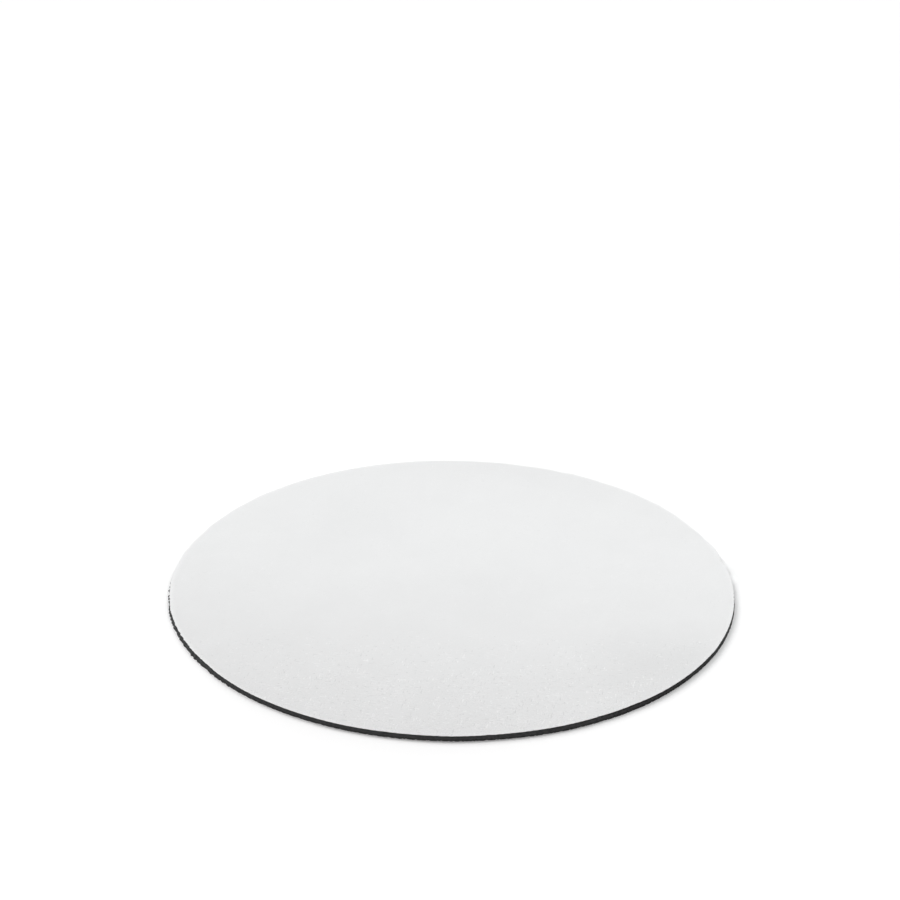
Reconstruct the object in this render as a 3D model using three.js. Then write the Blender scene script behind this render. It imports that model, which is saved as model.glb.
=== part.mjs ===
// Round mouse pad: a white polyester cloth glued by a thin film of adhesive to a sheet of foamed
// rubber, all three die-cut together from the laminated sheet.
// Millimetres, +Z up. The origin is the centre of the underside, where the pad lies on the desk.

import * as THREE from 'three';

// Driving dimensions
const padDiameter = 200;
const rubberThickness = 1.78;
const filmThickness = 0.05;
const clothThickness = 0.17;

// The die's cut. The foam is squeezed under the blade and springs back after it, so the foot
// stands out past the cloth, its corner is worn round, and the wall between is a little hollow.
const footFlare = 0.15;
const footRound = 0.12;
const wallHollow = 0.06;
const footRows = 3;
const wallRows = 6;

// The blade also presses the rim of the cloth thinner.
const rimPressWidth = 1.2;
const rimPressDepth = 0.07;
const rimRows = 6;

// The film ends this far behind the cloth's edge, so nothing sticky meets the hand where the cut
// wavers or the rim is nicked.
const filmSetback = 1.2;

// Facets round the pad: a multiple of four, so that it measures padDiameter both ways.
const segments = 192;

const padRadius = padDiameter / 2;
const clothRadius = padRadius - footFlare;
const filmRadius = clothRadius - filmSetback;

const charcoalRubber = new THREE.MeshStandardMaterial({
  name: 'charcoal_rubber',
  color: 0x323233,
  roughness: 0.85,
  metalness: 0,
});
const dryAdhesive = new THREE.MeshStandardMaterial({
  name: 'dry_adhesive',
  color: 0x8f8f8c,
  roughness: 0.55,
  metalness: 0,
});
const whitePolyester = new THREE.MeshStandardMaterial({
  name: 'white_polyester',
  color: 0xe9ebea,
  roughness: 0.9,
  metalness: 0,
});

// A profile holds points of (radius, height), from the axis round to the axis again.
function turned(profile) {
  return new THREE.LatheGeometry(profile, segments).rotateX(Math.PI / 2);
}

function layer(name, profile, material, height) {
  const mesh = new THREE.Mesh(turned(profile), material);
  mesh.name = name;
  mesh.position.z = height;
  return mesh;
}

// The hollow wall is one shallow curve from the round of the foot up to the cloth's edge.
function rubberBaseProfile() {
  const foot = new THREE.EllipseCurve(
    padRadius - footRound, footRound, footRound, footRound, -Math.PI / 2, 0,
  );
  const wall = new THREE.QuadraticBezierCurve(
    new THREE.Vector2(padRadius, footRound),
    new THREE.Vector2(clothRadius - wallHollow, rubberThickness / 2),
    new THREE.Vector2(clothRadius, rubberThickness),
  );
  return [
    new THREE.Vector2(0, 0),
    ...foot.getPoints(footRows),
    ...wall.getPoints(wallRows).slice(1),
    new THREE.Vector2(0, rubberThickness),
  ];
}

function adhesiveFilmProfile() {
  return [
    new THREE.Vector2(0, 0),
    new THREE.Vector2(filmRadius, 0),
    new THREE.Vector2(filmRadius, filmThickness),
    new THREE.Vector2(0, filmThickness),
  ];
}

// The cloth is level up to its rim, and curves down there to the edge, which is cut square.
function clothTopProfile() {
  const rim = new THREE.QuadraticBezierCurve(
    new THREE.Vector2(clothRadius, clothThickness - rimPressDepth),
    new THREE.Vector2(clothRadius - rimPressWidth / 2, clothThickness),
    new THREE.Vector2(clothRadius - rimPressWidth, clothThickness),
  );
  return [
    new THREE.Vector2(0, 0),
    new THREE.Vector2(clothRadius, 0),
    ...rim.getPoints(rimRows),
    new THREE.Vector2(0, clothThickness),
  ];
}

// The layers lie face to face, each on the top of the one below.
const filmHeight = rubberThickness;
const clothHeight = filmHeight + filmThickness;

const mousePad = new THREE.Group();
mousePad.name = 'mouse_pad';
mousePad.add(
  layer('rubber_base', rubberBaseProfile(), charcoalRubber, 0),
  layer('adhesive_film', adhesiveFilmProfile(), dryAdhesive, filmHeight),
  layer('cloth_top', clothTopProfile(), whitePolyester, clothHeight),
);

export default mousePad;
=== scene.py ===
import math

import bpy
import numpy as np
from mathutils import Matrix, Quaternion, Vector
from mathutils.geometry import delaunay_2d_cdt


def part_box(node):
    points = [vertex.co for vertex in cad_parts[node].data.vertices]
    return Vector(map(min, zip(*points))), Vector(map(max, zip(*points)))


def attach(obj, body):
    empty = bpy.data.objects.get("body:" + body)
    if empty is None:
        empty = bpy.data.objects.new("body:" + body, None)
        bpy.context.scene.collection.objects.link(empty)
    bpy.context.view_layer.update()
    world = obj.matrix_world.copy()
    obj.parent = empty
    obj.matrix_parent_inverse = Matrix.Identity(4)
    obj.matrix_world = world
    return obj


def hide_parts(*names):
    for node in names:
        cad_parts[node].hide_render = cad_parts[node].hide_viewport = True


# A round mouse pad: a white polyester cloth bonded to a sheet of dark foamed rubber, die-cut
# together. The cloth and the rubber are modelled here in full, and the film of adhesive between
# them stays the frame's own. Everything is in metres, +Z up, with the desk at zero.

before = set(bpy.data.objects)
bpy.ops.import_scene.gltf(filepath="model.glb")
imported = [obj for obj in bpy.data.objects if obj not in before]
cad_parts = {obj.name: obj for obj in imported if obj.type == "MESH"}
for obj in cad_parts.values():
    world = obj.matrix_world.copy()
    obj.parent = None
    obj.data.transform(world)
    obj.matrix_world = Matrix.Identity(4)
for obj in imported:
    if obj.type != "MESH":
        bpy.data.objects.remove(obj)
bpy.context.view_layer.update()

MM = 0.001
CLOTH_SEED = 20260
SWELL_SEED = 20261
FOAM_SEED = 20262

# The photograph's view. The pixel is where the centre of the cloth falls in the picture.
PICTURE_SIDE_PX = 900
CLOTH_CENTRE_PX = (452.31, 581.66)
LENS_MM = 85
SENSOR_MM = 36
CAMERA_DISTANCE = 758.6 * MM
CAMERA_ELEVATION = math.radians(28.916)
CAMERA_ROLL = math.radians(0.455)

# The studio: an even sky, two soft lamps from behind, and a broad strip close above the back of
# the pad, which makes the cloth's tone fall off towards the front.
WHITE = (1, 1, 1, 1)
SKY_STRENGTH = 0.351
SHOWN_SKY_STRENGTH = 1.0
# (name, share of the light that makes white white, and degrees: azimuth, elevation, width)
SOFT_LAMPS = [
    ("key_light", 0.335, 141, 40, 40),
    ("fill_light", 0.12, 65, 53, 22),
]
# At a glow of 1 the strip would be as bright as a white sky.
STRIP_GLOW = 0.52
STRIP_PLACE = Vector((8, 41, 120)) * MM
STRIP_WIDTH = 734 * MM
STRIP_DEPTH = 214 * MM
STRIP_COLOUR = (0.935, 0.998, 1)

# The floor. What is shown of it dims a little towards one side, and glows by itself, more so
# further out, where the strip lights it less.
FLOOR_HALF_SIDE = 6.0
FLOOR_COLOUR = (0.952, 0.94, 0.94)
DIM_SIDE = math.radians(30)
DIM_REACH = (20 * MM, 80 * MM)
DIM_LOSS = 0.06
GLOW_REACH = (106 * MM, 150 * MM)
FLOOR_GLOW = (0.08, 0.30)
# Painted light and shadow: soft patches that lighten or deepen the pad's shadow on the floor near
# the rim, as (x, y and radius in millimetres, share of the shown tone that is added)
FLOOR_SHADOW_PATCHES = [
    (97.5, 7, 6, 0.48),
    (103, 8, 9, -0.06),
    (101, 15.5, 6, -0.05),
    (97, 27, 10, 0.35),
]

# Columns round the rim. Each ring further in has as many as the one outside it, or half, and the
# rings end close to the centre.
RIM_COLUMNS = 3840
CENTRE_COLUMNS = 15
RIM_STEPS = [step * MM for step in (0, 0.1, 0.25, 0.45, 0.7, 1.0)]
HALVING_STEPS = [step * MM for step in (1.5, 2.5, 4.0, 6.5)]
INNER_RING_STEP = 3 * MM
NARROWEST_COLUMN = INNER_RING_STEP / 2
LAST_RING_RADIUS = 2 * INNER_RING_STEP

# The cloth
RIM_PRESS_WIDTH = 1.2 * MM
RIM_PRESS_DEPTH = 0.07 * MM
CUT_FADE_WIDTH = 4 * MM
CLOTH_WALL_ROWS = 3
CUT_WAVE_LENGTHS = (1.6 * MM, 5 * MM)
CUT_WAVE_DEPTH = 0.022 * MM
CUT_WAVE_ROUGH_DEPTH = 0.035 * MM
FIBRE_WAVE_LENGTHS = (0.5 * MM, 2 * MM)
SWELL_LENGTHS = (16 * MM, 45 * MM)
SWELL_DEPTH = 0.035 * MM
SWELL_WAVES = 28
CLOTH_SHARP_ANGLE = math.radians(50)

# The stretch of the rim that the die cut badly
ROUGH_CENTRE = math.radians(199)
ROUGH_HALF_WIDTH = math.radians(25)
ROUGH_FALL_POWER = 0.7

# Where the cloth's edge and the foam's top stray from the circle: (degrees round the pad, half
# width in degrees, millimetres outwards)
CUT_STRAYS = [
    (355, 4, -0.11),
    (340, 28, -0.08),
    (333, 2.5, 0.11),
    (313.5, 1.2, 0.04),
    (306, 2, -0.13),
    (300, 8, -0.18),
    (298.5, 0.5, -0.14),
    (288, 3, -0.05),
    (281, 5, -0.16),
    (276.8, 0.8, -0.10),
    (270, 2.5, 0.12),
    (262, 2, -0.05),
    (258.3, 0.8, -0.12),
    (249.5, 3, 0.06),
    (242, 14, 0.07),
    (228.5, 3.5, 0.11),
    (216.4, 0.9, -0.10),
    (214, 4, -0.24),
    (206.5, 1.1, -0.15),
    (204.8, 0.5, 0.12),
    (203.9, 0.5, -0.20),
    (202.8, 0.5, 0.16),
    (202.2, 0.5, -0.14),
    (196, 6, 0.10),
    (192.6, 2, 0.20),
    (185, 8, 0.14),
]

# The same for the foam's foot, whose strays fade out up the wall
FOOT_STRAYS = [
    (350, 8, 0.12),
    (311, 6, 0.04),
    (293, 2.5, 0.06),
    (337, 14, 0.14),
    (306, 5, 0.13),
    (298, 14, 0.22),
    (291, 2.5, 0.10),
    (285, 1.5, 0.08),
    (271.5, 3, 0.13),
    (245, 5, -0.05),
    (228, 5, 0.04),
    (219, 0.7, 0.12),
    (217.5, 2, -0.06),
    (207, 14, 0.18),
    (207.5, 3, -0.14),
    (205, 6, 0.08),
    (197.5, 3.2, 0.12),
    (194.5, 4, 0.26),
    (191.5, 2.2, 0.26),
    (183, 4, -0.10),
]

# The same for the far half, where the cloth and the foam stray together from top to foot. The
# last three are one nick.
FAR_STRAYS = [
    (178.5, 3.5, 0.36),
    (168.5, 2.2, 0.30),
    (159.5, 3.5, -0.25),
    (150.5, 3, -0.22),
    (137, 2.5, 0.30),
    (125, 9, 0.20),
    (110, 12, 0.20),
    (95.5, 1.2, -0.20),
    (85, 7, -0.36),
    (73.5, 4.5, -0.42),
    (64.8, 1.4, -0.45),
    (62, 1.2, 0.25),
    (54, 1.5, -0.25),
    (46, 2, 0.20),
    (38, 1.2, 0.30),
    (30, 2, -0.22),
    (25.5, 3.2, -0.50),
    (20, 1.8, -0.52),
    (15, 2.4, 0.48),
    (11.3, 0.9, -0.33),
    (10.3, 0.75, -0.62),
    (8.2, 0.9, -0.12),
]

# Where the cloth alone hangs out past the cut, in the same units
FRAYS = [
    (198.7, 0.22, 0.24),
    (185.6, 0.35, 0.08),
    (182.2, 0.40, 0.10),
]

# Marks that the die left in the foam: (degrees, share of the height, width and depth in
# millimetres). A lump has a depth below zero.
CUT_MARKS = [
    (181.4, 0.85, 0.55, -0.10),
    (182.9, 0.85, 0.60, -0.22),
    (184.4, 0.85, 0.50, -0.62),
    (186.7, 0.85, 0.50, -0.62),
    (187.7, 0.85, 0.42, -0.58),
    (188.8, 0.80, 0.50, -0.50),
    (190.2, 0.70, 0.70, -0.34),
    (192.0, 0.60, 0.80, -0.18),
    (197.0, 0.05, 0.45, -0.10),
    (197.8, 0.05, 0.50, -0.18),
    (198.8, 0.05, 0.60, 0.10),
    (199.7, 0.05, 0.50, -0.10),
    (207.0, 0.05, 0.50, -0.16),
    (207.7, 0.00, 0.40, 0.12),
    (208.3, 0.05, 0.45, -0.10),
    (209.4, 0.05, 0.50, -0.30),
    (210.0, 0.05, 0.45, -0.18),
    (210.7, 0.05, 0.45, -0.18),
    (212.0, 0.05, 0.45, -0.12),
    (215.3, 0.05, 1.10, 0.16),
    (217.4, 0.05, 0.50, -0.14),
    (223.0, 0.05, 0.50, -0.24),
    (227.9, 0.10, 0.80, 0.14),
]

# The foam's cut wall, whose rows crowd a little towards the foot
WALL_ROWS = 11
ROW_CROWDING = 1.15
FOOT_ROUND = 0.12 * MM
FOOT_FLARE = 0.15 * MM
FLARE_FALL_POWER = 1.5
CUT_LEAN = 0.13 * MM
WALL_HOLLOW = 0.06 * MM
FOAM_WAVE_LENGTHS = (2 * MM, 7 * MM)
FOAM_WAVE_DEPTH = 0.03 * MM
FOAM_WAVE_ROUGH_DEPTH = 0.05 * MM
FOAM_WAVE_TOP_LOSS = 0.6
CELL_DEPTH = 0.022 * MM
LAND_BULGE = 0.07 * MM
LAND_BULGE_RISE = 3 * FOOT_ROUND
HALF_OPEN = 0.5
FILM_CLEARANCE = 0.01 * MM
FOAM_SHARP_ANGLE = math.radians(40)

# The scattered nicks: how many, how deep at most, and how wide. A deep one has a share of its
# greatest depth, where below zero is a lump, and lies within two shares of the height.
SMALL_NICKS = 110
SMALL_NICK_DEPTH = 0.07 * MM
DEEP_NICKS = 26
DEEP_NICK_DEPTH = 0.14 * MM
DEEP_NICK_DEPTH_SHARES = (-0.6, 1)
DEEP_NICK_HEIGHT_SHARES = (0, 0.4)
NICK_WIDTHS = (0.25 * MM, 0.8 * MM)

# The embossed underside: square lands between two sets of V grooves, turned to make diamonds.
# Each groove has three lines: an edge, its middle and the other edge.
GROOVE_PITCH = 2.6 * MM
GROOVE_WIDTH = 0.7 * MM
GROOVE_DEPTH = 0.15 * MM
GROOVE_TURN = math.radians(45)
GROOVE_LINES = (-GROOVE_WIDTH / 2, 0, GROOVE_WIDTH / 2)
RIM_GUARD = 0.15 * MM
LONGEST_RUN = 30 * MM
RUN_STEP = 0.02 * MM

# The underside's triangulation: points closer than this are merged, and all triangles come back.
MERGE_DISTANCE = 0.0001 * MM
ALL_TRIANGLES = 0

# The range of shares, a noise's middle, and where most of its values lie
FULL_SHARES = (0.0, 1.0)
NOISE_MIDDLE = 0.5
NOISE_RANGE = (0.3, 0.7)

# A Mix node's colour sockets, which come after those for numbers and vectors
FIRST_COLOUR = 6
SECOND_COLOUR = 7
MIXED_COLOUR = 2

# The cloth's weave. Slubs are short stretches of a thread that stand out: noise that is drawn
# out along the thread.
WARP_PITCH = 0.34 * MM
WEFT_PITCH = 0.42 * MM
WEAVE_TURN = math.radians(8)
CROSSING_RISE = 0.6
WEFT_SLUB_SIZE = 0.5 * MM
WEFT_SLUB_STRETCH = (0.2, 1, 1)
WARP_SLUB_SIZE = 0.45 * MM
WARP_SLUB_STRETCH = (1, 0.16, 1)
SLUB_BUMP = 0.05 * MM
WEAVE_BUMP = 0.07 * MM

# The cloth's fluff, blotches and specks. A speck is a single fibre end, in one of many small
# cells, and its radii are shares of the spacing: where it is full and where it ends.
FLUFF_SIZE = 0.5 * MM
BLOTCH_SIZE = 14 * MM
SPECK_SPACING = 1.0 * MM
SPECK_RADIUS_SHARES = (0.18, 0.32)
PALE_SPECKS_ABOVE = 0.975
DARK_SPECKS_BELOW = 0.045

# Painted light: the cloth's grain is faint behind the first of two lines across the pad and
# strongest in front of the second, standing in for the weave's sharper shading under grazing light
# at the front. Its grain goes from the first amount to the second between them.
PAINTED_LIGHT_REACH = (-34 * MM, -92 * MM)
PAINTED_GRAIN_CONTRAST = (0.18, 2.45)
NAP_PATCH_SIZE = 7 * MM
NAP_PATCH_NOISE = (0.35, 0.65)
NAP_PATCH_SHARES = (0.5, 1.5)

# A painted highlight along the cloth's rim, where cut fibre ends would catch light: how far in
# from the rim it starts and where it is full, and how much of it shows behind the first of the
# lines above and in front of the second
HIGHLIGHT_EDGE_DEPTHS = (1.5 * MM, 0.5 * MM)
HIGHLIGHT_EDGE_REACH = (0.7, 1.3)

# What each thing adds to the cloth's tone. A peak is (quiet band on either side of the noise's
# middle, tone for what stands out past it).
FLUFF_TONE = 0.5
SPECK_TONE = 1.3
WEAVE_VALLEY_SHADE = 0.15
BLOTCH_TONE = 0.3
FLUFF_PEAK = (0.17, 6.5)
WEFT_SLUB_PEAK = (0.17, 14.5)
WARP_SLUB_PEAK = (0.19, 15.5)

# Soft patches where the cloth is a little darker: (x, y and radius in millimetres, tone lost)
DARKER_CLOTH_PATCHES = [
    (72, -58, 38, 0.45),
    (-40, 50, 45, 0.20),
    (12, -8, 30, 0.16),
]

# The cloth's colours, from the low end of its tones to the high end, and its finish
CLOTH_TONES = (-0.7, 1.3)
CLOTH_COLOURS = ((0.741, 0.733, 0.734, 1), (0.943, 0.933, 0.934, 1))
CLOTH_FINISH = {
    "Roughness": 0.92,
    "Specular IOR Level": 0.25,
    "Sheen Weight": 0.12,
    "Sheen Roughness": 0.5,
}

# The cut foam. A pit goes from its middle to its rim between two shares of a cell, and a streak
# is noise that is drawn out level.
CELL_SIZE = 0.22 * MM
PIT_SHARES = (0.15, 0.6)
DUST_SIZE = 0.7 * MM
STREAK_SIZE = 0.5 * MM
STREAK_STRETCH = (0.3, 0.3, 1.5)
MID_WALL_TONE = 0.75
PIT_SHADE_TONE = 0.25
DUST_TONE = 2.2
STREAK_TONE = 1.8
FOAM_TONES = (1.71, 3.01)
FOAM_COLOURS = ((0.014, 0.014, 0.0143, 1), (0.070, 0.070, 0.071, 1))
FOAM_ROUGHNESS = (0.78, 0.95)
FOAM_FINISH = {"Specular IOR Level": 0.22}
STREAK_BUMP = 0.04 * MM
PIT_BUMP = 0.05 * MM

# Painted shade on the cut wall, deepest on the front right, which faces away from the key lamp:
# (degrees round the pad, the cosine of the angle from there at which it starts, tone lost)
PAINTED_SHADE_SIDES = [
    (320, 0.55, 0.26),
    (320, 0.93, 0.50),
    (215, 0.80, 0.25),
]

# The embossed skin of the underside
SKIN_GRAIN_SIZE = 0.35 * MM
SKIN_CLOUD_SIZE = 9 * MM
SKIN_GRAIN_TONE = 0.6
SKIN_CLOUD_TONE = 0.5
SKIN_TONES = (0.3, 0.8)
SKIN_COLOURS = ((0.024, 0.024, 0.0245, 1), (0.040, 0.040, 0.041, 1))
SKIN_ROUGHNESS = (0.55, 0.72)
SKIN_FINISH = {"Specular IOR Level": 0.4}
SKIN_BUMP = 0.02 * MM

# The film of adhesive, dried in small beads
BEAD_SIZE = 1.2 * MM
BEAD_TONE = 0.5
FILM_CLOUD_SIZE = 6 * MM
FILM_TONES = (0.4, 1.1)
FILM_COLOURS = ((0.22, 0.22, 0.21, 1), (0.33, 0.33, 0.315, 1))
FILM_ROUGHNESS = (0.45, 0.65)
BEAD_BUMP = 0.02 * MM

foam_low, foam_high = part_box("rubber_base")
film_low, film_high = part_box("adhesive_film")
cloth_low, cloth_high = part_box("cloth_top")
CLOTH_RADIUS = cloth_high.x
FILM_RADIUS = film_high.x
FOAM_TOP = foam_high.z
CLOTH_BOTTOM = cloth_low.z
CLOTH_TOP = cloth_high.z


def new_object(name, data):
    made = bpy.data.objects.new(name, data)
    bpy.context.scene.collection.objects.link(made)
    return made


def make_camera():
    aim = Vector((0, 0, CLOTH_TOP))
    back = Vector((0, -math.cos(CAMERA_ELEVATION), math.sin(CAMERA_ELEVATION)))
    data = bpy.data.cameras.new("camera")
    data.lens = LENS_MM
    data.sensor_width = SENSOR_MM
    camera = new_object("camera", data)
    camera.location = aim + CAMERA_DISTANCE * back
    focal_px = LENS_MM / SENSOR_MM * PICTURE_SIDE_PX
    middle_px = PICTURE_SIDE_PX / 2
    seen = Vector((CLOTH_CENTRE_PX[0] - middle_px, middle_px - CLOTH_CENTRE_PX[1], -focal_px))
    off_axis = Vector((0, 0, -1)).rotation_difference(seen)
    roll = Quaternion((0, 0, 1), CAMERA_ROLL)
    camera.rotation_mode = "QUATERNION"
    camera.rotation_quaternion = (-back).to_track_quat("-Z", "Y") @ roll @ off_axis.inverted()
    bpy.context.scene.camera = camera


def empty_tree(holder):
    """The node tree of a material or a world, with no nodes yet."""
    holder.use_nodes = True
    holder.node_tree.nodes.clear()
    return holder.node_tree


def add_node(tree, kind, inputs=None, **settings):
    """A new node. An input given as a socket is linked, and any other is set."""
    made = tree.nodes.new(kind)
    for name, value in settings.items():
        setattr(made, name, value)
    for key, value in (inputs or {}).items():
        if isinstance(value, bpy.types.NodeSocket):
            tree.links.new(value, made.inputs[key])
        else:
            made.inputs[key].default_value = value
    return made


def calculate(tree, operation, *values):
    inputs = dict(enumerate(values))
    return add_node(tree, "ShaderNodeMath", inputs, operation=operation).outputs[0]


def measure(tree, operation, *vectors):
    """The number that vectors make, such as a length, a distance or a dot product."""
    inputs = dict(enumerate(vectors))
    made = add_node(tree, "ShaderNodeVectorMath", inputs, operation=operation)
    return made.outputs["Value"]


def scaled(tree, place, scale):
    inputs = {0: place, 1: scale}
    return add_node(tree, "ShaderNodeVectorMath", inputs, operation="MULTIPLY").outputs[0]


def components(tree, vector):
    return add_node(tree, "ShaderNodeSeparateXYZ", {0: vector}).outputs


def remap(tree, value, old, new=FULL_SHARES, **settings):
    """Turns one range of values into another, and holds what lies outside it at the ends."""
    inputs = {
        "Value": value,
        "From Min": old[0],
        "From Max": old[1],
        "To Min": new[0],
        "To Max": new[1],
    }
    return add_node(tree, "ShaderNodeMapRange", inputs, **settings).outputs["Result"]


def patch(tree, flat_place, x, y, radius, amount):
    """An amount at a place on the level, in millimetres, that falls to nothing at a radius."""
    away = measure(tree, "DISTANCE", flat_place, (x * MM, y * MM, 0))
    return remap(tree, away, (0.0, radius * MM), (amount, 0.0), interpolation_type="SMOOTHSTEP")


def noise(tree, place, size, detail=2, roughness=0.5):
    """Noise whose blotches are about size across, from 0 to 1."""
    inputs = {"Vector": place, "Scale": 1 / size, "Detail": detail, "Roughness": roughness}
    return add_node(tree, "ShaderNodeTexNoise", inputs).outputs[0]


def cells(tree, place, size):
    """The outputs of a pattern of cells that are about size across."""
    inputs = {"Vector": place, "Scale": 1 / size}
    return add_node(tree, "ShaderNodeTexVoronoi", inputs).outputs


def beyond(tree, value, quiet):
    """How far a noise stands out from its middle, past a quiet band on either side."""
    centred = calculate(tree, "SUBTRACT", value, NOISE_MIDDLE)
    low = calculate(tree, "MAXIMUM", centred, -quiet)
    return calculate(tree, "SUBTRACT", centred, calculate(tree, "MINIMUM", low, quiet))


def bumped(tree, height, distance, normal=None):
    inputs = {"Height": height, "Distance": distance, "Strength": 1.0}
    if normal is not None:
        inputs["Normal"] = normal
    return add_node(tree, "ShaderNodeBump", inputs).outputs[0]


def new_material(name, finish=None):
    """A material, its tree, the place on the piece, and the shader with its even values set."""
    material = bpy.data.materials.new(name)
    tree = empty_tree(material)
    place = tree.nodes.new("ShaderNodeTexCoord").outputs["Object"]
    shader = add_node(tree, "ShaderNodeBsdfPrincipled", finish)
    add_node(tree, "ShaderNodeOutputMaterial", {"Surface": shader.outputs[0]})
    return material, tree, place, shader


def colour_by_tone(tree, shader, tone, tones, colours):
    """Takes the surface from the first colour to the second as its tone goes through a range."""
    inputs = {0: remap(tree, tone, tones), FIRST_COLOUR: colours[0], SECOND_COLOUR: colours[1]}
    mixed = add_node(tree, "ShaderNodeMix", inputs, data_type="RGBA").outputs[MIXED_COLOUR]
    tree.links.new(mixed, shader.inputs["Base Color"])


def shown_rays(tree):
    """One for rays that show the stage by itself: the camera's, and those in gloss or glass."""
    rays = tree.nodes.new("ShaderNodeLightPath").outputs
    seen = calculate(tree, "ADD", rays["Is Camera Ray"], rays["Is Glossy Ray"])
    seen = calculate(tree, "ADD", seen, rays["Is Transmission Ray"])
    return calculate(tree, "MINIMUM", seen, 1.0)


def make_floor():
    mesh = bpy.data.meshes.new("floor")
    corners = [(-1, -1), (1, -1), (1, 1), (-1, 1)]
    points = [(x * FLOOR_HALF_SIDE, y * FLOOR_HALF_SIDE, 0) for x, y in corners]
    mesh.from_pydata(points, [], [(0, 1, 2, 3)])
    floor = new_object("floor", mesh)
    material = bpy.data.materials.new("floor")
    tree = empty_tree(material)
    place = tree.nodes.new("ShaderNodeTexCoord").outputs["Object"]
    shown = shown_rays(tree)
    heading = (math.cos(DIM_SIDE), math.sin(DIM_SIDE), 0)
    towards = measure(tree, "DOT_PRODUCT", place, heading)
    change = remap(tree, towards, DIM_REACH, (0.0, -DIM_LOSS))
    for x, y, radius, amount in FLOOR_SHADOW_PATCHES:
        change = calculate(tree, "ADD", change, patch(tree, place, x, y, radius, amount))
    shade = calculate(tree, "MULTIPLY_ADD", shown, change, 1.0)
    matt = add_node(tree, "ShaderNodeBsdfDiffuse", {"Color": scaled(tree, shade, FLOOR_COLOUR)})
    glow_there = remap(tree, measure(tree, "LENGTH", place), GLOW_REACH, FLOOR_GLOW)
    shown_glow = calculate(tree, "MULTIPLY", shown, glow_there)
    glow = add_node(tree, "ShaderNodeEmission", {"Strength": shown_glow})
    both = add_node(tree, "ShaderNodeAddShader", {0: matt.outputs[0], 1: glow.outputs[0]})
    add_node(tree, "ShaderNodeOutputMaterial", {"Surface": both.outputs[0]})
    mesh.materials.append(material)


def make_sky():
    world = bpy.data.worlds.new("sky")
    tree = empty_tree(world)
    strength = remap(tree, shown_rays(tree), FULL_SHARES, (SKY_STRENGTH, SHOWN_SKY_STRENGTH))
    sky = add_node(tree, "ShaderNodeBackground", {"Strength": strength, "Color": WHITE})
    add_node(tree, "ShaderNodeOutputWorld", {"Surface": sky.outputs[0]})
    bpy.context.scene.world = world


def add_lamp(name, kind, place, settings):
    data = bpy.data.lights.new(name, kind)
    for key, value in settings.items():
        setattr(data, key, value)
    lamp = new_object(name, data)
    lamp.location = place
    lamp.rotation_mode = "QUATERNION"
    lamp.rotation_quaternion = (-place).to_track_quat("-Z", "Y")
    lamp.visible_camera = False


def make_lamps():
    for name, share, azimuth, elevation, width in SOFT_LAMPS:
        azimuth, elevation = math.radians(azimuth), math.radians(elevation)
        level = math.cos(elevation)
        place = Vector((math.cos(azimuth) * level, math.sin(azimuth) * level, math.sin(elevation)))
        add_lamp(name, "SUN", place, {
            "energy": share * math.pi / place.z,
            "angle": math.radians(width),
        })
    add_lamp("strip_light", "AREA", STRIP_PLACE, {
        "energy": STRIP_GLOW * math.pi * STRIP_WIDTH * STRIP_DEPTH,
        "shape": "RECTANGLE",
        "size": STRIP_WIDTH,
        "size_y": STRIP_DEPTH,
        "color": STRIP_COLOUR,
    })


def ring_noise(random, columns, radius, lengths):
    """Smooth noise round a rim, of size about 1, with waves between the two lengths."""
    turn = 2 * math.pi * radius
    lowest = int(turn / lengths[1])
    highest = int(turn / lengths[0])
    waves = np.arange(lowest, highest + 1)
    spectrum = np.zeros(columns // 2 + 1, complex)
    spectrum[waves] = np.exp(2j * math.pi * random.random(len(waves)))
    values = np.fft.irfft(spectrum, columns)
    return values / values.std()


def swell(x, y):
    """Gentle waves over the whole pad, of size about 1, and the same ones at each call."""
    random = np.random.default_rng(SWELL_SEED)
    total = np.zeros(np.shape(x))
    for _ in range(SWELL_WAVES):
        heading = random.uniform(0, math.pi)
        wave_number = 2 * math.pi / random.uniform(*SWELL_LENGTHS)
        phase = random.uniform(0, 2 * math.pi)
        along = x * math.cos(heading) + y * math.sin(heading)
        total += np.cos(wave_number * along + phase)
    return total * math.sqrt(2 / SWELL_WAVES)


def turn_from(angle, place):
    """How far round the pad an angle lies from a place, the short way."""
    return (angle - place + math.pi) % (2 * math.pi) - math.pi


def rough_share(angle):
    """One at the middle of the badly cut stretch, falling to zero at its ends."""
    away = turn_from(angle, ROUGH_CENTRE) / ROUGH_HALF_WIDTH
    return np.cos(np.clip(away, -1, 1) * math.pi / 2) ** ROUGH_FALL_POWER


def strays(angle, table):
    """How far a table of strays moves the cut outwards."""
    total = np.zeros(len(angle))
    for place, half_width, distance in table:
        away = turn_from(angle, math.radians(place)) / math.radians(half_width)
        total += distance * MM * np.exp(-away ** 2)
    return total


def column_angles(columns):
    return np.arange(columns) * (2 * math.pi / columns)


def on_circle(radius, angle):
    return radius * np.cos(angle), radius * np.sin(angle)


def smooth_step(value):
    value = np.clip(value, 0, 1)
    return value * value * (3 - 2 * value)


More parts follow.
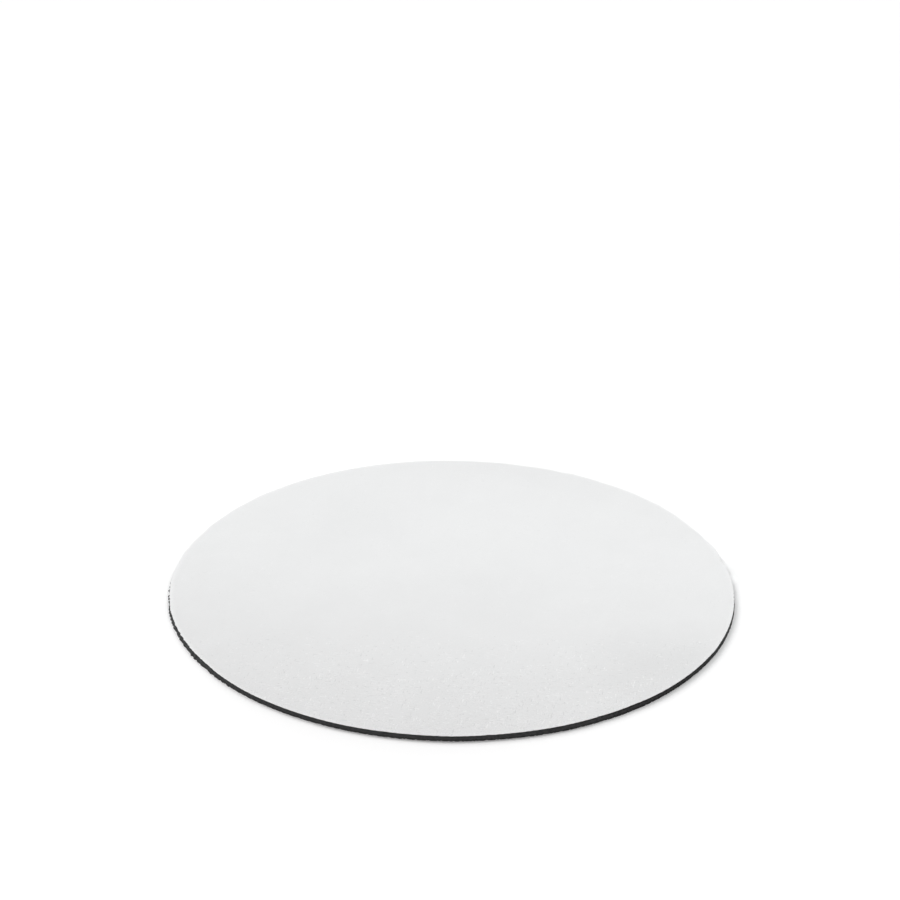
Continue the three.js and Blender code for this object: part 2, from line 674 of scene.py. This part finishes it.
class Shell:
    """A closed mesh made of rings, listed from the bottom's centre out, up and in to the top's."""

    def __init__(self):
        self.points = []
        self.faces = []
        self.count = 0

    def add(self, x, y, z):
        points = np.stack(np.broadcast_arrays(x, y, z), axis=1)
        self.points.append(points)
        first = self.count
        self.count += len(points)
        return np.arange(first, self.count)

    def ring(self, columns, radius, height):
        x, y = on_circle(radius, column_angles(columns))
        return self.add(x, y, height)

    def band(self, first, second):
        if len(first) == len(second):
            quads = np.stack([first, np.roll(first, -1), np.roll(second, -1), second], axis=1)
            self.faces += quads.tolist()
            return
        fine, coarse = (first, second) if len(first) > len(second) else (second, first)
        even, odd, next_even = fine[0::2], fine[1::2], np.roll(fine[0::2], -1)
        after = np.roll(coarse, -1)
        triangles = np.concatenate([
            np.stack([even, odd, coarse], axis=1),
            np.stack([odd, next_even, after], axis=1),
            np.stack([coarse, odd, after], axis=1),
        ])
        if fine is second:
            triangles = triangles[:, ::-1]
        self.faces += triangles.tolist()

    def bands(self, rings):
        for first, second in zip(rings, rings[1:]):
            self.band(first, second)

    def cap(self, ring, height, top):
        centre = self.add([0.0], [0.0], [height])[0]
        middle = np.full(len(ring), centre)
        after = np.roll(ring, -1)
        columns = [ring, after, middle] if top else [after, ring, middle]
        self.faces += np.stack(columns, axis=1).tolist()

    def build(self, name, sharp_angle):
        mesh = bpy.data.meshes.new(name)
        mesh.from_pydata(np.concatenate(self.points).tolist(), [], self.faces)
        mesh.shade_smooth()
        mesh.set_sharp_from_angle(angle=sharp_angle)
        return new_object(name, mesh)


def inward_steps(radius):
    """(distance from the rim, columns) of the rings from the rim in to the centre."""
    steps = [(step, RIM_COLUMNS) for step in RIM_STEPS]
    columns = RIM_COLUMNS
    for step in HALVING_STEPS:
        columns //= 2
        steps.append((step, columns))
    step = HALVING_STEPS[-1]
    while step < radius - LAST_RING_RADIUS:
        step += INNER_RING_STEP
        # The columns halve again near the centre, where they would crowd.
        turn = 2 * math.pi * (radius - step)
        while columns > CENTRE_COLUMNS and turn / columns < NARROWEST_COLUMN:
            columns //= 2
        steps.append((step, columns))
    return steps


def make_cloth():
    random = np.random.default_rng(CLOTH_SEED)
    angle = column_angles(RIM_COLUMNS)
    waves = ring_noise(random, RIM_COLUMNS, CLOTH_RADIUS, CUT_WAVE_LENGTHS)
    depth = CUT_WAVE_DEPTH + CUT_WAVE_ROUGH_DEPTH * rough_share(angle)
    cut_edge = waves * depth + strays(angle, CUT_STRAYS + FAR_STRAYS + FRAYS)
    steps = inward_steps(CLOTH_RADIUS)
    shell = Shell()

    def ring_radius(step, columns):
        # The cut edge's strays fade out inwards.
        fade = 1 - smooth_step(step / CUT_FADE_WIDTH)
        return CLOTH_RADIUS - step + fade * cut_edge[::RIM_COLUMNS // columns]

    def top_ring(step, columns):
        x, y = on_circle(ring_radius(step, columns), column_angles(columns))
        press = RIM_PRESS_DEPTH * max(0, 1 - step / RIM_PRESS_WIDTH) ** 2
        # The swell is sunk by its own size, and is level where it would still rise past the top.
        held = smooth_step(step / HALVING_STEPS[-1])
        lift = held * SWELL_DEPTH * (swell(x, y) - 1)
        return shell.add(x, y, CLOTH_TOP - press + np.minimum(lift, 0))

    bottom = [
        shell.ring(columns, ring_radius(step, columns), CLOTH_BOTTOM)
        for step, columns in steps[:0:-1]
    ]
    shell.bands(bottom)
    shell.cap(bottom[0], CLOTH_BOTTOM, top=False)

    wall = []
    for row in range(CLOTH_WALL_ROWS):
        share = row / CLOTH_WALL_ROWS
        height = CLOTH_BOTTOM + share * (CLOTH_TOP - RIM_PRESS_DEPTH - CLOTH_BOTTOM)
        frizz = ring_noise(random, RIM_COLUMNS, CLOTH_RADIUS, FIBRE_WAVE_LENGTHS)
        fibres = CUT_WAVE_DEPTH * share * frizz
        wall.append(shell.ring(RIM_COLUMNS, CLOTH_RADIUS + cut_edge + fibres, height))
    top = [top_ring(step, columns) for step, columns in steps]
    shell.bands([bottom[-1], *wall, *top])
    shell.cap(top[-1], CLOTH_TOP - SWELL_DEPTH, top=True)
    return shell.build("cloth_face", CLOTH_SHARP_ANGLE)


def groove_height(x, y):
    """How far the embossing lifts the underside off the desk."""
    cosine, sine = math.cos(GROOVE_TURN), math.sin(GROOVE_TURN)
    height = 0
    for along in (x * cosine + y * sine, y * cosine - x * sine):
        away = np.abs(along - GROOVE_PITCH * np.round(along / GROOVE_PITCH))
        height = np.maximum(height, GROOVE_DEPTH * np.clip(1 - away / (GROOVE_WIDTH / 2), 0, 1))
    return height


def groove_lines(radius):
    """Where the grooves' edges and middles lie across the pad, in order."""
    count = int(radius / GROOVE_PITCH) + 1
    grooves = range(-count, count + 1)
    return np.array([groove * GROOVE_PITCH + line for groove in grooves for line in GROOVE_LINES])


def add_underside(shell, rim, rim_points):
    """Fills the rim with the embossed pattern, creased along the grooves' lines."""
    columns = len(rim)
    rim_reach = np.hypot(*rim_points.T)

    def column_near(x, y):
        return np.round(np.arctan2(y, x) / (2 * math.pi) * columns).astype(int) % columns

    # Crossings stay inside the rim's innermost place nearby, so no crease cuts across a nick.
    spread = math.ceil(GROOVE_PITCH / (2 * math.pi * CLOTH_RADIUS / columns))
    lowest = np.min([np.roll(rim_reach, shift) for shift in range(-spread, spread + 1)], axis=0)
    cosine, sine = math.cos(GROOVE_TURN), math.sin(GROOVE_TURN)
    lines = groove_lines(rim_reach.max())
    u, v = np.meshgrid(lines, lines, indexing="ij")
    x, y = u * cosine - v * sine, u * sine + v * cosine
    inside = np.hypot(x, y) < lowest[column_near(x, y)] - RIM_GUARD
    label = np.full(inside.shape, -1)
    label[inside] = np.arange(inside.sum()) + columns
    points = np.concatenate([rim_points, np.stack([x[inside], y[inside]], axis=1)])

    # The grooves' edges and middles are creases, and so is each crossing's diagonal.
    edges = []

    def crease(first, second):
        both = (first >= 0) & (second >= 0)
        edges.append(np.stack([first[both], second[both]], axis=1))

    crease(label[:-1], label[1:])
    crease(label[:, :-1], label[:, 1:])
    middles = np.arange(1, len(lines), len(GROOVE_LINES))
    for step_u in (-1, 1):
        for step_v in (-1, 1):
            corners = label[np.ix_(middles + step_u, middles + step_v)]
            crease(label[np.ix_(middles, middles)], corners)

    # Each line runs on from its last crossing to the rim's nearest column.
    run = np.arange(0, LONGEST_RUN, RUN_STEP)
    for table, along in ((label, (cosine, sine)), (label.T, (-sine, cosine))):
        for line in table.T:
            there = line[line >= 0]
            if len(there) == 0:
                continue
            for end, sign in ((there[0], -1), (there[-1], 1)):
                run_x = points[end][0] + sign * along[0] * run
                run_y = points[end][1] + sign * along[1] * run
                column = column_near(run_x, run_y)
                past_rim = np.hypot(run_x, run_y) > rim_reach[column]
                edges.append(np.array([[end, column[past_rim.argmax()]]]))

    # The rim goes in as a face, and only the triangles that come from it are kept.
    with_sources = True
    places, _, triangles, place_sources, _, triangle_sources = delaunay_2d_cdt(
        [Vector(point) for point in points.tolist()],
        np.concatenate(edges).tolist(),
        [list(range(columns))],
        ALL_TRIANGLES,
        MERGE_DISTANCE,
        with_sources,
    )
    kept = np.array([corners for corners, faces in zip(triangles, triangle_sources) if faces])
    flat = np.array([tuple(place) for place in places])
    index = np.full(len(flat), -1)
    for number, sources in enumerate(place_sources):
        if sources and min(sources) < columns:
            index[number] = rim[min(sources)]
    new = index < 0
    index[new] = shell.add(*flat[new].T, groove_height(*flat[new].T))
    corners = index[kept]
    first, second, third = (flat[kept[:, corner]] for corner in range(3))
    turn = np.cross(second - first, third - first)
    down = np.where(turn[:, None] > 0, corners[:, ::-1], corners)
    shell.faces += down.tolist()


def nick_table(random):
    """The placed marks and the scattered nicks, as (angle, share of the height, width, depth)."""
    nicks = [
        (math.radians(place), height, width * MM, depth * MM)
        for place, height, width, depth in CUT_MARKS
    ]
    for _ in range(SMALL_NICKS):
        place = random.uniform(0, 2 * math.pi)
        depth = SMALL_NICK_DEPTH * random.uniform(-1, 1)
        nicks.append((place, random.uniform(0, 1), random.uniform(*NICK_WIDTHS), depth))
    for _ in range(DEEP_NICKS):
        place = ROUGH_CENTRE + ROUGH_HALF_WIDTH * random.uniform(-1, 1)
        depth = DEEP_NICK_DEPTH * random.uniform(*DEEP_NICK_DEPTH_SHARES)
        height = random.uniform(*DEEP_NICK_HEIGHT_SHARES)
        nicks.append((place, height, random.uniform(*NICK_WIDTHS), depth))
    return nicks


def wall_radii(angle, share):
    """How far out the foam's cut wall lies, with a row for each share of its height."""
    random = np.random.default_rng(FOAM_SEED)
    rough = rough_share(angle)

    # The wall's plain form, as the die leaves it: flared and rounded at the foot, a little hollow.
    lean = FOOT_FLARE - CUT_LEAN * np.cos(angle) + strays(angle, FOOT_STRAYS)
    whole = CLOTH_RADIUS + strays(angle, FAR_STRAYS)
    low_share = (1 - share) ** FLARE_FALL_POWER
    rise = share * FOAM_TOP
    foot = FOOT_ROUND * (1 - np.sqrt(1 - np.clip(1 - rise / FOOT_ROUND, 0, 1) ** 2))
    radius = whole + lean * low_share + strays(angle, CUT_STRAYS) * (1 - low_share)
    radius = radius - foot - WALL_HOLLOW * 4 * share * (1 - share)

    # Waves along the cut, cells of the foam, and nicks.
    waves = ring_noise(random, RIM_COLUMNS, CLOTH_RADIUS, FOAM_WAVE_LENGTHS)
    wave_depth = FOAM_WAVE_DEPTH + FOAM_WAVE_ROUGH_DEPTH * rough
    radius += waves * wave_depth * (1 - FOAM_WAVE_TOP_LOSS * share)
    pits = random.normal(size=radius.shape)
    pits = (pits + np.roll(pits, 1, axis=1) + np.roll(pits, -1, axis=1)) / math.sqrt(3)
    radius += CELL_DEPTH * pits * (1 + rough)
    for place, height, width, depth in nick_table(random):
        along = turn_from(angle, place) * CLOTH_RADIUS / width
        up = (share - height) * FOAM_TOP / width
        radius -= depth * np.exp(-along ** 2 - up ** 2)

    # Squeezed lands bulge at the foot, and the grooves between them run out through it. Half of
    # the bulge goes outwards on a land, and half inwards in a groove.
    open_groove = groove_height(*on_circle(radius[0], angle)) / GROOVE_DEPTH
    fall = np.exp(-share * FOAM_TOP / LAND_BULGE_RISE)
    return radius + LAND_BULGE * (HALF_OPEN - open_groove) * fall


def make_foam():
    angle = column_angles(RIM_COLUMNS)
    shares = np.linspace(0, 1, WALL_ROWS + 1) ** ROW_CROWDING
    radii = wall_radii(angle, shares[:, None])
    x, y = on_circle(radii[0], angle)
    base = groove_height(x, y)
    shell = Shell()
    rows = [
        shell.ring(RIM_COLUMNS, radius, base + share * (CLOTH_BOTTOM - base))
        for share, radius in zip(shares, radii)
    ]
    add_underside(shell, rows[0], np.stack([x, y], axis=1))
    underside_faces = len(shell.faces)

    # The top is level under the film, and a low lip outside it meets the cloth.
    lip_inside = shell.ring(RIM_COLUMNS, FILM_RADIUS + FILM_CLEARANCE, FOAM_TOP)
    top = [
        shell.ring(columns, CLOTH_RADIUS - step, FOAM_TOP)
        for step, columns in inward_steps(CLOTH_RADIUS)
        if step > CLOTH_RADIUS - FILM_RADIUS
    ]
    shell.bands([*rows, lip_inside, *top])
    shell.cap(top[-1], FOAM_TOP, top=True)
    piece = shell.build("foam_base", FOAM_SHARP_ANGLE)

    # The underside's faces come first, and take the second material.
    slots = np.zeros(len(piece.data.polygons), int)
    slots[:underside_faces] = 1
    piece.data.materials.append(cut_foam_material())
    piece.data.materials.append(embossed_skin_material())
    piece.data.polygons.foreach_set("material_index", slots)
    return piece


def cloth_material():
    material, tree, place, shader = new_material("woven_polyester", CLOTH_FINISH)
    inputs = {"Vector": place, "Axis": (0, 0, 1), "Angle": WEAVE_TURN}
    along = add_node(tree, "ShaderNodeVectorRotate", inputs).outputs[0]

    # The height of a plain weave: each thread is round, and dips and rises under the other set.
    waves = (math.pi / WARP_PITCH, math.pi / WEFT_PITCH, 0)
    threads = components(tree, scaled(tree, along, waves))
    warp = calculate(tree, "SINE", threads[0])
    weft = calculate(tree, "SINE", threads[1])
    cross = calculate(tree, "MULTIPLY", warp, weft)
    heights = [
        calculate(tree, "MULTIPLY_ADD", cross, rise, calculate(tree, "ABSOLUTE", thread))
        for thread, rise in ((warp, CROSSING_RISE), (weft, -CROSSING_RISE))
    ]
    weave = calculate(tree, "MAXIMUM", *heights)

    weft_slubs = noise(tree, scaled(tree, along, WEFT_SLUB_STRETCH), WEFT_SLUB_SIZE, detail=1)
    warp_slubs = noise(tree, scaled(tree, along, WARP_SLUB_STRETCH), WARP_SLUB_SIZE, detail=1)
    fluff = noise(tree, along, FLUFF_SIZE, detail=1, roughness=0.6)
    nap_patches = noise(tree, along, NAP_PATCH_SIZE)
    blotches = noise(tree, along, BLOTCH_SIZE, detail=3)
    ends = cells(tree, along, SPECK_SPACING)
    pick = components(tree, ends["Color"])[0]
    pale = calculate(tree, "GREATER_THAN", pick, PALE_SPECKS_ABOVE)
    dark = calculate(tree, "LESS_THAN", pick, DARK_SPECKS_BELOW)
    dot = remap(tree, ends["Distance"], SPECK_RADIUS_SHARES, (1.0, 0.0))
    specks = calculate(tree, "MULTIPLY", dot, calculate(tree, "SUBTRACT", pale, dark))
    centred_fluff = calculate(tree, "SUBTRACT", fluff, NOISE_MIDDLE)
    grain = calculate(tree, "MULTIPLY", centred_fluff, FLUFF_TONE)
    grain = calculate(tree, "MULTIPLY_ADD", specks, SPECK_TONE, grain)
    peaks = ((fluff, FLUFF_PEAK), (weft_slubs, WEFT_SLUB_PEAK), (warp_slubs, WARP_SLUB_PEAK))
    for value, (quiet, amount) in peaks:
        grain = calculate(tree, "MULTIPLY_ADD", beyond(tree, value, quiet), amount, grain)

    # Painted light: the grain is stronger towards the front, for the weave's sharper shading under
    # grazing light there, and uneven in patches.
    flat = scaled(tree, place, (1, 1, 0))
    across = components(tree, place)[1]
    lit_grain = remap(tree, across, PAINTED_LIGHT_REACH, PAINTED_GRAIN_CONTRAST)
    uneven = remap(tree, nap_patches, NAP_PATCH_NOISE, NAP_PATCH_SHARES)
    lit_grain = calculate(tree, "MULTIPLY", lit_grain, uneven)
    # Painted shade: the weave's valleys between the threads are a little darker.
    tone = calculate(tree, "MULTIPLY", weave, WEAVE_VALLEY_SHADE)
    tone = calculate(tree, "MULTIPLY_ADD", grain, lit_grain, tone)
    tone = calculate(tree, "MULTIPLY_ADD", blotches, BLOTCH_TONE, tone)
    for x, y, radius, loss in DARKER_CLOTH_PATCHES:
        tone = calculate(tree, "SUBTRACT", tone, patch(tree, flat, x, y, radius, loss))

    # Painted highlight: the very edge is paler, unevenly, where cut fibre ends would catch light,
    # and more so towards the front.
    band = [CLOTH_RADIUS - depth for depth in HIGHLIGHT_EDGE_DEPTHS]
    painted_highlight = remap(tree, measure(tree, "LENGTH", flat), band)
    ragged = calculate(tree, "MULTIPLY", fluff, remap(tree, across, PAINTED_LIGHT_REACH, HIGHLIGHT_EDGE_REACH))
    tone = calculate(tree, "MULTIPLY_ADD", painted_highlight, ragged, tone)
    colour_by_tone(tree, shader, tone, CLOTH_TONES, CLOTH_COLOURS)
    normal = bumped(tree, weave, WEAVE_BUMP, bumped(tree, weft_slubs, SLUB_BUMP))
    tree.links.new(normal, shader.inputs["Normal"])
    return material


def cut_foam_material():
    material, tree, place, shader = new_material("cut_foam", FOAM_FINISH)
    pit = remap(tree, cells(tree, place, CELL_SIZE)["Distance"], PIT_SHARES)
    dust = noise(tree, place, DUST_SIZE, roughness=0.6)
    streak = noise(tree, scaled(tree, place, STREAK_STRETCH), STREAK_SIZE, roughness=0.6)

    # The cut is a little paler in the middle of its height than towards its top and its foot.
    rise = remap(tree, components(tree, place)[2], (0.0, FOAM_TOP), (-1.0, 1.0))
    middle = calculate(tree, "SUBTRACT", 1.0, calculate(tree, "MULTIPLY", rise, rise))
    tone = calculate(tree, "MULTIPLY", middle, MID_WALL_TONE)
    # Painted shade: each pit is darker at its middle.
    for value, amount in ((pit, PIT_SHADE_TONE), (dust, DUST_TONE), (streak, STREAK_TONE)):
        tone = calculate(tree, "MULTIPLY_ADD", value, amount, tone)

    # Painted shade: the cut wall is darker round some sides of the pad.
    for place_degrees, start, loss in PAINTED_SHADE_SIDES:
        side = math.radians(place_degrees)
        heading = (math.cos(side) / CLOTH_RADIUS, math.sin(side) / CLOTH_RADIUS, 0)
        around = measure(tree, "DOT_PRODUCT", place, heading)
        painted_shade = remap(tree, around, (start, 1.0), (0.0, loss))
        tone = calculate(tree, "SUBTRACT", tone, painted_shade)
    colour_by_tone(tree, shader, tone, FOAM_TONES, FOAM_COLOURS)
    rough = remap(tree, dust, NOISE_RANGE, FOAM_ROUGHNESS)
    tree.links.new(rough, shader.inputs["Roughness"])
    normal = bumped(tree, pit, PIT_BUMP, bumped(tree, streak, STREAK_BUMP))
    tree.links.new(normal, shader.inputs["Normal"])
    return material


def embossed_skin_material():
    material, tree, place, shader = new_material("embossed_skin", SKIN_FINISH)
    grain = noise(tree, place, SKIN_GRAIN_SIZE, detail=3, roughness=0.6)
    cloud = noise(tree, place, SKIN_CLOUD_SIZE)
    clouded = calculate(tree, "MULTIPLY", cloud, SKIN_CLOUD_TONE)
    tone = calculate(tree, "MULTIPLY_ADD", grain, SKIN_GRAIN_TONE, clouded)
    colour_by_tone(tree, shader, tone, SKIN_TONES, SKIN_COLOURS)
    rough = remap(tree, grain, NOISE_RANGE, SKIN_ROUGHNESS)
    tree.links.new(rough, shader.inputs["Roughness"])
    tree.links.new(bumped(tree, grain, SKIN_BUMP), shader.inputs["Normal"])
    return material


def adhesive_material():
    material, tree, place, shader = new_material("dry_adhesive_film")
    beads = cells(tree, place, BEAD_SIZE)["Distance"]
    cloud = noise(tree, place, FILM_CLOUD_SIZE, detail=3, roughness=0.55)
    tone = calculate(tree, "MULTIPLY_ADD", beads, BEAD_TONE, cloud)
    colour_by_tone(tree, shader, tone, FILM_TONES, FILM_COLOURS)
    rough = remap(tree, cloud, NOISE_RANGE, FILM_ROUGHNESS)
    tree.links.new(rough, shader.inputs["Roughness"])
    tree.links.new(bumped(tree, beads, BEAD_BUMP), shader.inputs["Normal"])
    return material


bpy.context.scene.view_settings.view_transform = "Standard"
make_camera()
make_floor()
make_sky()
make_lamps()

foam = make_foam()
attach(foam, "root")
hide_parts("rubber_base")

cloth = make_cloth()
cloth.data.materials.append(cloth_material())
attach(cloth, "root")
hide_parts("cloth_top")

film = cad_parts["adhesive_film"]
film.data.materials.clear()
film.data.materials.append(adhesive_material())
